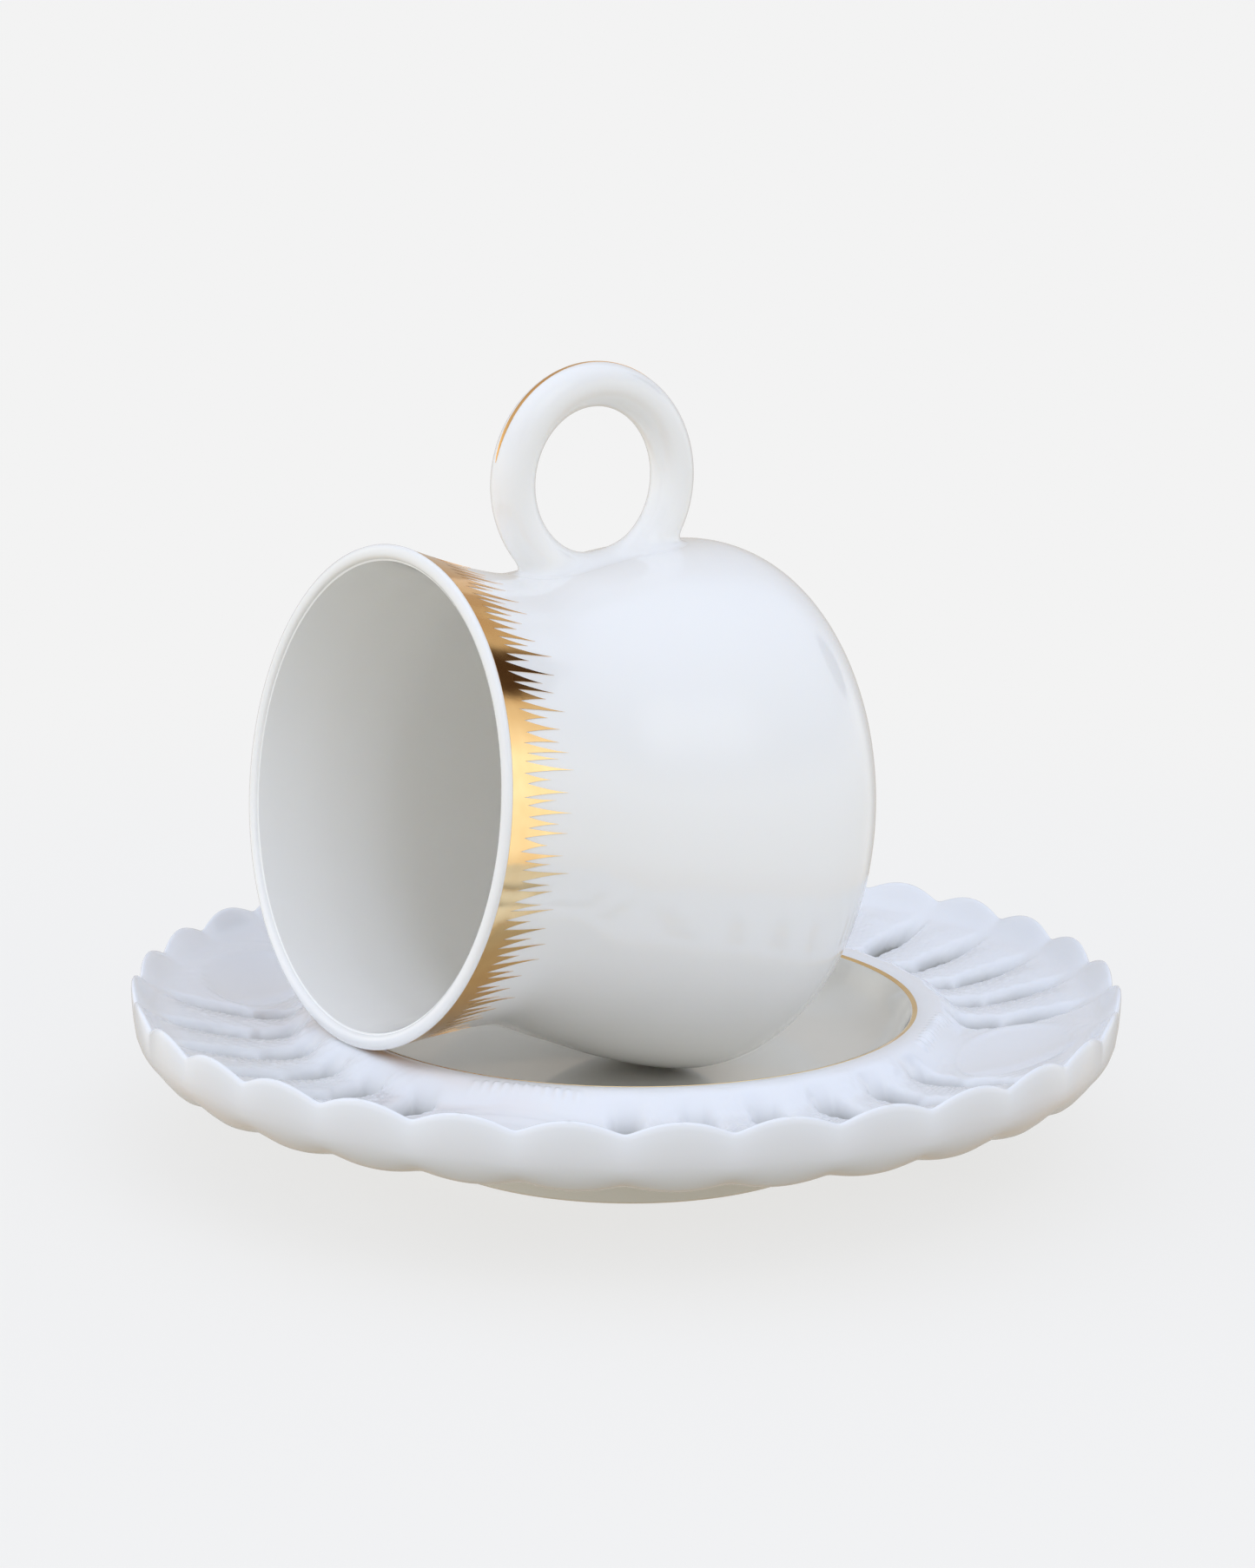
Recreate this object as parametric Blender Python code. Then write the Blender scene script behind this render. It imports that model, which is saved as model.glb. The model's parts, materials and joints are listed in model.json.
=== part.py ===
"""A porcelain teacup lying on its side in the well of its pierced saucer.

Metres, +Z up. The saucer stands on its foot ring, centred on the origin. The cup lies across it
with its mouth towards -X and -Y, its ring handle up, its lip on the saucer's seat ring and its belly
in the well. Each piece that the potter forms and joins is its own solid.
"""

from math import cos, pi, radians, sin, tau

import bmesh
import bpy
from mathutils import Matrix, Vector

MM = 0.001
JOINT_GAP = 0.3 * MM
GILT_GAP = 0.06 * MM
GILT_THICKNESS = 0.14 * MM

# Saucer
LOBES = 32
QUARTERS = 4
SLOT = tau / LOBES
SLOTS_PER_QUARTER = LOBES // QUARTERS
STRAPS_PER_QUARTER = 5
PANEL_MARGIN = 0.25
FIRST_SLIT = radians(-90.0)
DISH_SEGMENTS = 60
RIM_SEGMENTS = 128
GOLD_LINE_RADIUS = 43.9 * MM
GOLD_LINE_HEIGHT = 21.0 * MM
GOLD_LINE_WIDTH = 0.7 * MM
SEAT_INNER_RADIUS = 45.3 * MM
SEAT_OUTER_RADIUS = 51.5 * MM
SEAT_TOP = 21.5 * MM
OPENWORK_OUTER_RADIUS = 70.4 * MM
STRAP_WIDTH = 4.4 * MM
STRAP_THICKNESS = 3.2 * MM
STRAP_SLANT = radians(2.5)
RIM_RADIUS = 75.6 * MM
RIM_HEIGHT = 26.0 * MM
CUSP_SETBACK = 1.9 * MM
CUSP_DROP = 2.3 * MM
FOOT_RADIUS = 34.0 * MM
FOOT_WIDTH = 3.0 * MM
FOOT_HEIGHT = 5.2 * MM

# Cup: s is the distance from the mouth's plane towards the base
MOUTH_CENTRE = Vector((-37.5, -23.2, 57.85)) * MM
LIE_AZIMUTH = radians(34.49)
BASE_DIP = radians(7.55)
CUP_SEGMENTS = 56
WALL = 2.2 * MM
BASE_THICKNESS = 3.6 * MM
CUP_OUTLINE = [
    (36.6, 0.0), (35.25, 6.0), (34.05, 13.0), (33.6, 22.0), (36.1, 32.0), (38.9, 42.0),
    (40.6, 51.0), (40.75, 57.0), (38.9, 62.0), (34.6, 66.2), (28.6, 69.2), (23.4, 70.6),
]
CUP_FOOT_RADIUS = 24.0 * MM
CUP_FOOT_WIDTH = 2.6 * MM
CUP_FOOT_HEIGHT = 2.4 * MM
GILT_START = 1.1 * MM
GILT_ROOT = 5.3 * MM
GILT_NOTCH = 0.1 * MM
GILT_TIP = 9.6 * MM

# Ring handle: a torus in the plane of the cup's axis
HANDLE_S = 32.6 * MM
HANDLE_RISE = 48.4 * MM
HANDLE_RADIUS = 14.2 * MM
HANDLE_TUBE = 3.3 * MM
HANDLE_SEGMENTS = 40
HANDLE_SIDES = 12
HANDLE_GILT_FROM = radians(15.0)
HANDLE_GILT_TO = radians(165.0)

PORCELAIN = ("porcelain", (0.80, 0.83, 0.87, 1.0), 0.12, 0.0)
INNER_PORCELAIN = ("saucer_porcelain", (0.79, 0.81, 0.83, 1.0), 0.14, 0.0)
GOLD = ("burnished_gold", (0.83, 0.55, 0.22, 1.0), 0.16, 1.0)


def clear_scene():
    for obj in list(bpy.data.objects):
        bpy.data.objects.remove(obj, do_unlink=True)


def material(spec):
    name, colour, roughness, metallic = spec
    found = bpy.data.materials.get(name)
    if found:
        return found
    made = bpy.data.materials.new(name)
    made.use_nodes = True
    shader = made.node_tree.nodes["Principled BSDF"]
    shader.inputs["Base Color"].default_value = colour
    shader.inputs["Roughness"].default_value = roughness
    shader.inputs["Metallic"].default_value = metallic
    made.diffuse_color = colour
    return made


def finish(mesh_data, name, spec, parent=None, smooth=True):
    """Turns a bmesh into a named object with its own material."""
    bmesh.ops.remove_doubles(mesh_data, verts=mesh_data.verts, dist=1e-7)
    bmesh.ops.recalc_face_normals(mesh_data, faces=mesh_data.faces)
    mesh = bpy.data.meshes.new(name)
    mesh_data.to_mesh(mesh)
    mesh_data.free()
    if smooth:
        mesh.shade_smooth()
        mesh.set_sharp_from_angle(angle=radians(40))
    obj = bpy.data.objects.new(name, mesh)
    mesh.materials.append(material(spec))
    bpy.context.scene.collection.objects.link(obj)
    obj.parent = parent
    return obj


def curve_through(points, steps):
    """A Catmull-Rom curve through the points, with this many steps in each span."""
    ends = [2 * points[0] - points[1], *points, 2 * points[-1] - points[-2]]
    curve = []
    for i in range(1, len(ends) - 2):
        before, start, end, after = ends[i - 1 : i + 3]
        for step in range(steps):
            t = step / steps
            curve.append(
                0.5 * (2 * start + (end - before) * t
                       + (2 * before - 5 * start + 4 * end - after) * t ** 2
                       + (3 * start - before - 3 * end + after) * t ** 3)
            )
    return [*curve, points[-1]]


def turned(profile, segments):
    """A body turned about Z from a closed profile of (radius, height) points."""
    shape = bmesh.new()
    ring = [shape.verts.new((radius, 0.0, height)) for radius, height in profile]
    edges = [shape.edges.new((ring[i - 1], ring[i])) for i in range(len(ring))
             if not (profile[i - 1][0] == 0.0 and profile[i][0] == 0.0)]
    bmesh.ops.spin(shape, geom=ring + edges, cent=(0, 0, 0), axis=(0, 0, 1), angle=tau,
                   steps=segments, use_merge=True)
    return shape


def sector(profile, start, end, steps):
    """A closed profile swept about Z from one azimuth to another."""
    shape = bmesh.new()
    face = shape.faces.new([shape.verts.new((radius, 0.0, height)) for radius, height in profile])
    bmesh.ops.rotate(shape, verts=shape.verts, cent=(0, 0, 0), matrix=Matrix.Rotation(start, 3, "Z"))
    bmesh.ops.spin(shape, geom=[face], cent=(0, 0, 0), axis=(0, 0, 1), angle=end - start, steps=steps)
    return shape


def in_mm(points):
    return [(radius * MM, height * MM) for radius, height in points]


def cup_outer(distance):
    """Points (radius, s) of the cup's outside, moved out from the wall by a distance."""
    points = [Vector(point) * MM for point in CUP_OUTLINE]
    fine = curve_through(points, 2)
    moved = []
    for i, point in enumerate(fine):
        along = (fine[min(i + 1, len(fine) - 1)] - fine[max(i - 1, 0)]).normalized()
        moved.append(point + distance * Vector((along.y, -along.x)))
    return moved


def make_cup_bowl(cup):
    """The thrown wall and base, open at the mouth, with a rounded lip."""
    outside = [tuple(point) for point in cup_outer(0.0)]
    floor = CUP_OUTLINE[-1][1] * MM - BASE_THICKNESS
    lining = [(point.x, min(point.y, floor)) for point in cup_outer(-WALL)[::2] if point.y < floor]
    lip = WALL / 3
    inside = [(lining[0][0] + lip, 0.0), (lining[0][0], lip), *lining[1:]]
    profile = [*inside, (lining[-1][0] * 0.72, floor), (0.0, floor), (0.0, outside[-1][1]),
               *reversed(outside)]
    finish(turned(profile, CUP_SEGMENTS), "cup_bowl", PORCELAIN, cup)


def make_cup_foot_ring(cup):
    """The ring that the cup stands on when it is upright."""
    top = CUP_OUTLINE[-1][1] * MM + JOINT_GAP
    end = top + CUP_FOOT_HEIGHT
    inner = CUP_FOOT_RADIUS - CUP_FOOT_WIDTH
    edge = CUP_FOOT_WIDTH / 4
    profile = [(inner, top), (CUP_FOOT_RADIUS, top), (CUP_FOOT_RADIUS, end - edge),
               (CUP_FOOT_RADIUS - edge, end), (inner + edge, end), (inner, end - edge)]
    finish(turned(profile, CUP_SEGMENTS), "cup_foot_ring", PORCELAIN, cup)


def wall_point(s, offset):
    """The outside wall's radius at s, moved out along its slope by an offset."""
    outline = cup_outer(0.0)
    for low, high in zip(outline, outline[1:]):
        if low.y <= s <= high.y:
            share = (s - low.y) / (high.y - low.y)
            along = (high - low).normalized()
            return low.lerp(high, share) + offset * Vector((along.y, -along.x))
    raise ValueError(s)


def make_cup_gold_rim(cup):
    """A gilt sleeve on the outside of the lip whose inner edge runs out in points."""
    shape = bmesh.new()
    step = tau / CUP_SEGMENTS
    layers = []
    for offset in (GILT_GAP, GILT_GAP + GILT_THICKNESS):
        rows = []
        for i in range(CUP_SEGMENTS):
            end = GILT_TIP if i % 2 else GILT_ROOT + GILT_NOTCH
            row = []
            for s in (GILT_START, GILT_ROOT, end):
                point = wall_point(s, offset / cos(step / 2))
                row.append(shape.verts.new((point.x * cos(i * step), point.x * sin(i * step), point.y)))
            rows.append(row)
        layers.append(rows)
    inner, outer = layers
    for i in range(CUP_SEGMENTS):
        j = (i + 1) % CUP_SEGMENTS
        for k in range(2):
            shape.faces.new((outer[i][k], outer[j][k], outer[j][k + 1], outer[i][k + 1]))
            shape.faces.new((inner[i][k + 1], inner[j][k + 1], inner[j][k], inner[i][k]))
        shape.faces.new((inner[i][0], inner[j][0], outer[j][0], outer[i][0]))
        shape.faces.new((outer[i][2], outer[j][2], inner[j][2], inner[i][2]))
    finish(shape, "cup_gold_rim", GOLD, cup)


def cutter(shape, name, cup):
    obj = finish(shape, name, PORCELAIN, cup, smooth=False)
    obj.hide_render = True
    obj.display_type = "WIRE"
    return obj


def cut(obj, tool):
    step = obj.modifiers.new(tool.name, "BOOLEAN")
    step.operation = "DIFFERENCE"
    step.solver = "EXACT"
    step.object = tool


def wall_cutter(cup):
    """The cup's outside, swollen by the joint's gap, which trims the foot of the ring handle."""
    low, high = 4.0 * MM, 66.0 * MM
    side = [tuple(point) for point in cup_outer(JOINT_GAP) if low < point.y < high]
    profile = [(0.0, low), *side, (0.0, high)]
    return cutter(turned(profile, CUP_SEGMENTS), "wall_cutter", cup)


def make_ring_handle(cup, wall):
    """A torus in the plane of the cup's axis, its hole facing across the cup."""
    shape = bmesh.new()
    circle = bmesh.ops.create_circle(shape, segments=HANDLE_SIDES, radius=HANDLE_TUBE)["verts"]
    half_side = Matrix.Rotation(pi / HANDLE_SIDES, 3, "Z")
    bmesh.ops.rotate(shape, verts=circle, cent=(0, 0, 0), matrix=half_side)
    bmesh.ops.translate(shape, verts=circle, vec=(HANDLE_RADIUS, 0, 0))
    bmesh.ops.spin(shape, geom=circle + list(shape.edges), cent=(0, 0, 0), axis=(0, 1, 0), angle=tau,
                   steps=HANDLE_SEGMENTS, use_merge=True)
    bmesh.ops.translate(shape, verts=shape.verts, vec=(-HANDLE_RISE, 0, HANDLE_S))
    cut(finish(shape, "ring_handle", PORCELAIN, cup), wall)


def make_handle_gold_line(cup):
    """A gilt line on the outermost facets of the ring, over its top."""
    shape = bmesh.new()
    half_side = pi / HANDLE_SIDES
    near = HANDLE_TUBE + GILT_GAP / cos(half_side)
    far = near + GILT_THICKNESS
    step = tau / HANDLE_SEGMENTS
    count = round((HANDLE_GILT_TO - HANDLE_GILT_FROM) / step)
    corners = [(near, -half_side), (far, -half_side), (far, half_side), (near, half_side)]
    start = [shape.verts.new((HANDLE_RADIUS + radius * cos(turn), radius * sin(turn), 0))
             for radius, turn in corners]
    face = shape.faces.new(start)
    first = round(HANDLE_GILT_FROM / step) * step
    bmesh.ops.rotate(shape, verts=shape.verts, cent=(0, 0, 0),
                     matrix=Matrix.Rotation(pi / 2 + first, 3, "Y"))
    bmesh.ops.spin(shape, geom=[face], cent=(0, 0, 0), axis=(0, 1, 0), angle=count * step, steps=count)
    bmesh.ops.translate(shape, verts=shape.verts, vec=(-HANDLE_RISE, 0, HANDLE_S))
    finish(shape, "handle_gold_line", GOLD, cup)


def make_saucer_well():
    """The dish in the middle, up to the edge that carries the gold line."""
    top = in_mm([(0.0, 9.6), (14.0, 9.65), (26.0, 10.0), (33.0, 11.1), (38.2, 13.3), (41.6, 16.6),
                 (43.3, 19.8)])
    rim = in_mm([(43.9, 21.0), (45.0, 21.2)])
    under = in_mm([(45.0, 15.0), (42.6, 10.6), (38.5, 7.2), (34.5, 5.6), (30.5, 5.6), (0.0, 6.0)])
    finish(turned([*top, *rim, *under], DISH_SEGMENTS), "saucer_well", INNER_PORCELAIN)


def make_saucer_foot_ring():
    """The ring that the saucer stands on."""
    inner = FOOT_RADIUS - FOOT_WIDTH
    edge = 0.5 * MM
    profile = [(inner + edge, 0.0), (FOOT_RADIUS - edge, 0.0), (FOOT_RADIUS, edge),
               (FOOT_RADIUS, FOOT_HEIGHT), (inner, FOOT_HEIGHT), (inner, edge)]
    finish(turned(profile, DISH_SEGMENTS), "saucer_foot_ring", INNER_PORCELAIN)


def make_seat_ring():
    """The raised ring between the well and the openwork that the cup's lip lies on."""
    profile = [(SEAT_INNER_RADIUS, 21.3 * MM), (46.7 * MM, SEAT_TOP), (48.4 * MM, 21.2 * MM),
               (50.0 * MM, 19.7 * MM), (SEAT_OUTER_RADIUS, 18.3 * MM), (SEAT_OUTER_RADIUS, 13.8 * MM),
               (SEAT_INNER_RADIUS, 13.8 * MM)]
    finish(turned(profile, DISH_SEGMENTS), "seat_ring", INNER_PORCELAIN)


def make_saucer_gold_line():
    """A gilt line on the edge of the well."""
    outer = GOLD_LINE_RADIUS + GOLD_LINE_WIDTH
    rise = 0.2 / 1.1 * GOLD_LINE_WIDTH
    low = GOLD_LINE_HEIGHT + GILT_GAP
    profile = [(GOLD_LINE_RADIUS, low), (GOLD_LINE_RADIUS, low + GILT_THICKNESS),
               (outer, low + rise + GILT_THICKNESS), (outer, low + rise)]
    finish(turned(profile, DISH_SEGMENTS), "saucer_gold_line", GOLD)


def openwork_section():
    """(radius, top height) along a strap, from the seat ring out to the rim."""
    inner = SEAT_OUTER_RADIUS + JOINT_GAP
    return [(inner, 18.1 * MM), (57.0 * MM, 17.9 * MM), (63.0 * MM, 19.2 * MM),
            (OPENWORK_OUTER_RADIUS, 21.6 * MM)]


def make_straps():
    """Five straps in each quarter, one between each pair of slits, all leaning the same way."""
    section = openwork_section()
    middle = (len(section) - 1) / 2
    corners = ((-1, 0), (1, 0), (1, STRAP_THICKNESS), (-1, STRAP_THICKNESS))
    number = 0
    for quarter in range(QUARTERS):
        for place in range(STRAPS_PER_QUARTER):
            number += 1
            azimuth = FIRST_SLIT + (quarter * SLOTS_PER_QUARTER + place + 0.5) * SLOT
            shape = bmesh.new()
            rings = []
            for i, (radius, top) in enumerate(section):
                turn = Matrix.Rotation(azimuth + STRAP_SLANT * (i - middle), 3, "Z")
                verts = [shape.verts.new(turn @ Vector((radius, side * STRAP_WIDTH / 2, top - drop)))
                         for side, drop in corners]
                rings.append([shape.edges.new((verts[k - 1], verts[k])) for k in range(4)])
                if i in (0, len(section) - 1):
                    shape.faces.new(verts)
            for low, high in zip(rings, rings[1:]):
                bmesh.ops.bridge_loops(shape, edges=low + high)
            finish(shape, f"strap_{number:02d}", INNER_PORCELAIN, smooth=False)


def make_panels():
    """The plain cartouche panels, each of which fills three slots of its quarter."""
    section = openwork_section()
    profile = [*section, *[(radius, top - STRAP_THICKNESS) for radius, top in reversed(section)]]
    margin = SLOT * PANEL_MARGIN
    for quarter in range(QUARTERS):
        start = FIRST_SLIT + (quarter * SLOTS_PER_QUARTER + STRAPS_PER_QUARTER) * SLOT + margin
        end = start + (SLOTS_PER_QUARTER - STRAPS_PER_QUARTER) * SLOT - 2 * margin
        finish(sector(profile, start, end, 6), f"cartouche_panel_{quarter + 1}", INNER_PORCELAIN)


def lobe(azimuth):
    """0 at a cusp of the edge, 1 at the crown of a lobe."""
    return abs(sin(LOBES / 2 * (azimuth - FIRST_SLIT))) ** 0.85


def make_scalloped_rim():
    """The edge: one lobe for each slot, highest and widest at the crown, with a cusp between lobes."""
    inner = OPENWORK_OUTER_RADIUS + JOINT_GAP
    profile = [(inner, 21.7 * MM), (72.6 * MM, 22.9 * MM), (74.6 * MM, RIM_HEIGHT - 0.4 * MM),
               (75.2 * MM, RIM_HEIGHT), (RIM_RADIUS, RIM_HEIGHT - 0.5 * MM), (75.2 * MM, 21.0 * MM),
               (73.6 * MM, 17.4 * MM), (inner, 15.2 * MM)]
    shape = turned(profile, RIM_SEGMENTS)
    for vert in shape.verts:
        flat = Vector((vert.co.x, vert.co.y))
        short = 1 - lobe(flat.angle_signed(Vector((1, 0))))
        out = (flat.length - inner) / (RIM_RADIUS - inner)
        up = max(0.0, vert.co.z - 17.0 * MM) / (RIM_HEIGHT - 17.0 * MM)
        flat *= 1 - out * short * CUSP_SETBACK / flat.length
        vert.co = (flat.x, flat.y, vert.co.z - up * out * short * CUSP_DROP)
    finish(shape, "scalloped_rim", INNER_PORCELAIN)


def make_saucer():
    make_saucer_well()
    make_saucer_foot_ring()
    make_seat_ring()
    make_saucer_gold_line()
    make_straps()
    make_panels()
    make_scalloped_rim()


def make_cup():
    cup = bpy.data.objects.new("cup_axis", None)
    bpy.context.scene.collection.objects.link(cup)
    cup.location = MOUTH_CENTRE
    cup.rotation_euler = (0.0, pi / 2 + BASE_DIP, LIE_AZIMUTH)
    make_cup_bowl(cup)
    make_cup_foot_ring(cup)
    make_cup_gold_rim(cup)
    wall = wall_cutter(cup)
    make_ring_handle(cup, wall)
    make_handle_gold_line(cup)


clear_scene()
make_saucer()
make_cup()
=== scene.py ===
"""A porcelain teacup lying on its side in the well of its pierced saucer: the finished surfaces.

Lengths are in metres in the first section, and in millimetres in those of the pieces, where they
are turned to metres as each mesh is made.
"""

import json
from math import cos, pi, radians, sin, tau

import bmesh
import bpy
import numpy as np
from mathutils import Matrix, Vector


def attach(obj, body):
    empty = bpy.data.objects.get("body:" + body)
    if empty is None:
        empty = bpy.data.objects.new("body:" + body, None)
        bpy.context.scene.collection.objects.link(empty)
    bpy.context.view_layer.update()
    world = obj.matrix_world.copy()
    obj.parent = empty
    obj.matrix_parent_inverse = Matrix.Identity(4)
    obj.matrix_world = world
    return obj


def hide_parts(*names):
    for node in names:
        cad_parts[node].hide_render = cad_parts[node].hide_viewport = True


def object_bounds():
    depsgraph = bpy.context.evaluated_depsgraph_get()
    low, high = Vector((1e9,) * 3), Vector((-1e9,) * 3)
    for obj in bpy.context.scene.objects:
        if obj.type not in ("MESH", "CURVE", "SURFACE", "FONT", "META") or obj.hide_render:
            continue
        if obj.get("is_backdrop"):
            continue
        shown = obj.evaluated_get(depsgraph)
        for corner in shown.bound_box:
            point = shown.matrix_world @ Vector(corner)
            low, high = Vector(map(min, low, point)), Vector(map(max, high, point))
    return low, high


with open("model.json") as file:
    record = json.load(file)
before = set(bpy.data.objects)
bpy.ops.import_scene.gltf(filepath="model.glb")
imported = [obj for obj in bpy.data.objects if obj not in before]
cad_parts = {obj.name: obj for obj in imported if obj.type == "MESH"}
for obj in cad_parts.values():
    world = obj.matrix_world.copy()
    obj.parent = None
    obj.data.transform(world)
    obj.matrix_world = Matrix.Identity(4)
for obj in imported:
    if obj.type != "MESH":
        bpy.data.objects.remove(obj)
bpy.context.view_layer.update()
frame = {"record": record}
MM = 0.001


# ---------------------------------------------------------------------------------------------
# Camera, light and floor. A long lens a little above the table, and a bright tent of light that is
# cool from above and warm from below, with a soft window and two fills. The glaze and the gold
# mirror a room of their own, and the floor is plain and pale.

LENS = 74.5
SENSOR = 36.0
CAMERA_PLACE = (-0.00045, -0.48164, 0.15844)
CAMERA_TURN = (77.819, -0.568, 0.123)
CAMERA_SHIFT = (0.0014, 0.0028)
BACKGROUND = (0.896, 0.896, 0.896)
# what the porcelain is lit by, from straight down to straight up
TENT = [(0.0, (0.28, 0.28, 0.25)), (0.32, (0.44, 0.42, 0.34)), (0.47, (0.71, 0.67, 0.56)),
        (0.54, (0.75, 0.81, 0.96)), (1.0, (0.74, 0.79, 0.93))]
# what the glaze and the gold mirror: warm below, bright round the sides and cool above
ROOM = [(0.0, (0.46, 0.33, 0.21)), (0.25, (0.68, 0.47, 0.28)), (0.36, (1.08, 1.02, 0.93)),
        (0.60, (1.25, 1.22, 1.16)), (0.74, (0.72, 0.74, 0.78)), (1.0, (0.88, 0.93, 1.02))]
# patches in that room: the way they lie, where their soft edge starts and ends, and their colour
BACK_WALL = ((0.0, 1.0, 0.10), 0.62, 0.95, (0.58, 0.54, 0.49))
DARK_BOARD = ((0.74, 0.46, 0.49), 0.13, 0.19, (0.07, 0.05, 0.04))
WINDOW_PANE = ((0.38, -0.63, 0.68), 0.12, 0.45, (1.45, 1.50, 1.55))
# lamps: place, side, power and colour
WINDOW = ((0.45, -0.75, 0.85), 0.8, 2.5, (0.91, 0.96, 1.05))
FRONT_FILL = ((-0.80, -0.62, 0.30), 0.7, 0.7, (0.92, 0.98, 1.06))
SIDE_FILL = ((-1.00, -0.12, 0.28), 0.6, 1.7, (0.97, 0.98, 1.0))
LIGHT_AIM = Vector((0.0, 0.0, 0.05))
FLOOR_REACH = 4.0
FLOOR_DROP = 0.0002
FLOOR_COLOUR = (0.20, 0.194, 0.18)
FLOOR_GLOW = 0.78
FLOOR_FADE = (0.10, 0.40)


def add_object(name, data):
    """An object made of the data, in the scene."""
    made = bpy.data.objects.new(name, data)
    bpy.context.scene.collection.objects.link(made)
    return made


camera_data = bpy.data.cameras.new("camera")
camera_data.lens = LENS
camera_data.sensor_width = SENSOR
camera_data.shift_x, camera_data.shift_y = CAMERA_SHIFT
camera_data.clip_start, camera_data.clip_end = 0.01, 20.0
camera = add_object("camera", camera_data)
camera.location = CAMERA_PLACE
camera.rotation_euler = [radians(angle) for angle in CAMERA_TURN]
bpy.context.scene.camera = camera
bpy.context.scene.view_settings.view_transform = "Standard"


def link(tree, source, output, target, socket):
    """Joins a node's output to a socket of another node, both by name or number."""
    tree.links.new(source.outputs[output], target.inputs[socket])


def ramp_node(tree, stops):
    """A colour ramp with the stops (place, colour)."""
    node = tree.nodes.new("ShaderNodeValToRGB")
    points = node.color_ramp.elements
    while len(points) < len(stops):
        points.new(0.5)
    for point, (place, colour) in zip(points, stops):
        point.position = place
        point.color = (*colour, 1.0)
    return node


def range_node(tree, low, high, smooth=False):
    """A node that turns the range from low to high into 0 to 1."""
    node = tree.nodes.new("ShaderNodeMapRange")
    if smooth:
        node.interpolation_type = "SMOOTHSTEP"
    node.inputs["From Min"].default_value = low
    node.inputs["From Max"].default_value = high
    return node


def mix_colours(tree, factor, first, second, blend="MIX"):
    """The colour between two, each an output or a plain colour, by a factor or an output."""
    node = tree.nodes.new("ShaderNodeMix")
    node.data_type = "RGBA"
    node.blend_type = blend
    colour_sockets = [socket for socket in node.inputs if socket.type == "RGBA"]
    for socket, value in zip([node.inputs["Factor"], *colour_sockets], [factor, first, second]):
        if isinstance(value, bpy.types.NodeSocket):
            tree.links.new(value, socket)
        elif isinstance(value, tuple):
            socket.default_value = (*value, 1.0)
        else:
            socket.default_value = value
    return next(socket for socket in node.outputs if socket.type == "RGBA")


world = bpy.data.worlds.new("light_tent")
bpy.context.scene.world = world
world.use_nodes = True
sky = world.node_tree
sky.nodes.clear()
direction = sky.nodes.new("ShaderNodeTexCoord")
split = sky.nodes.new("ShaderNodeSeparateXYZ")
link(sky, direction, "Generated", split, "Vector")
rise = range_node(sky, -1.0, 1.0)
link(sky, split, "Z", rise, "Value")
tent = ramp_node(sky, TENT)
link(sky, rise, "Result", tent, "Fac")
room = ramp_node(sky, ROOM)
link(sky, rise, "Result", room, "Fac")


def patch(before, way, inner, outer, colour):
    """A soft round patch in the mirrored room, about a direction."""
    off = sky.nodes.new("ShaderNodeVectorMath")
    off.operation = "DISTANCE"
    off.inputs[1].default_value = Vector(way).normalized()
    link(sky, direction, "Generated", off, 0)
    fade = range_node(sky, outer, inner, smooth=True)
    link(sky, off, "Value", fade, "Value")
    return mix_colours(sky, fade.outputs["Result"], before, colour)


mirrored = room.outputs["Color"]
for board in (BACK_WALL, DARK_BOARD, WINDOW_PANE):
    mirrored = patch(mirrored, *board)
rays = sky.nodes.new("ShaderNodeLightPath")
glossy = mix_colours(sky, rays.outputs["Is Glossy Ray"], tent.outputs["Color"], mirrored)
seen = mix_colours(sky, rays.outputs["Is Camera Ray"], glossy, BACKGROUND)
backdrop = sky.nodes.new("ShaderNodeBackground")
sky.links.new(seen, backdrop.inputs["Color"])
sky_out = sky.nodes.new("ShaderNodeOutputWorld")
link(sky, backdrop, "Background", sky_out, "Surface")


def soft_light(name, place, side, power, colour):
    """A square area light turned towards the cup, which lights but isn't mirrored."""
    data = bpy.data.lights.new(name, "AREA")
    data.size = side
    data.energy = power
    data.color = colour
    lamp = add_object(name, data)
    lamp.location = place
    lamp.rotation_mode = "QUATERNION"
    lamp.rotation_quaternion = (LIGHT_AIM - Vector(place)).to_track_quat("-Z", "Y")
    lamp.visible_glossy = False


soft_light("window", *WINDOW)
soft_light("front_fill", *FRONT_FILL)
soft_light("side_fill", *SIDE_FILL)

bpy.ops.object.select_all(action="DESELECT")
bpy.ops.mesh.primitive_circle_add(vertices=96, radius=FLOOR_REACH, fill_type="NGON",
                                  location=(0, 0, -FLOOR_DROP))
floor = bpy.context.object
floor.name = "floor"
floor_material = bpy.data.materials.new("pale_floor")
floor_material.use_nodes = True
floor_tree = floor_material.node_tree
floor_shader = floor_tree.nodes["Principled BSDF"]
floor_shader.inputs["Roughness"].default_value = 1.0
floor_shader.inputs["Specular IOR Level"].default_value = 0.0
floor_shader.inputs["Base Color"].default_value = (*FLOOR_COLOUR, 1.0)
floor_shader.inputs["Emission Color"].default_value = (*BACKGROUND, 1.0)
floor_shader.inputs["Emission Strength"].default_value = FLOOR_GLOW
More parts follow.
